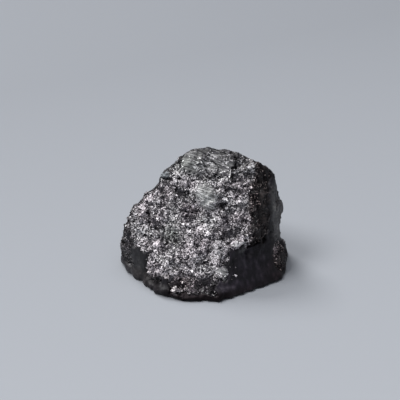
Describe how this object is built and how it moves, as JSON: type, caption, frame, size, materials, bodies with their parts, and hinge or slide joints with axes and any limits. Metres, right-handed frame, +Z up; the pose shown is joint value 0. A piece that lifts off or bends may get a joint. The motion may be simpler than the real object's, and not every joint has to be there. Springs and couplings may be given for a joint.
{
  "type": "rough stone",
  "caption": "Rough lump of dark, glittering rock with a sloping granular break in front, smooth dark joint faces at its sides and a flat patch to rest on.",
  "frame": {"origin": "centre of the stone's bounding box in plan, on the plane it rests on", "axes": "+Z up out of the flat underside; +X to the right along the longest extent; -Y towards the viewer, the way the granular break looks"},
  "size_m": [0.0376, 0.0304, 0.0284],
  "materials": {
    "stone": "granular glittering break, satin dark joint faces"
  },
  "bodies": {
    "root": {"raw_stone": "stone"}
  },
  "joints": []
}
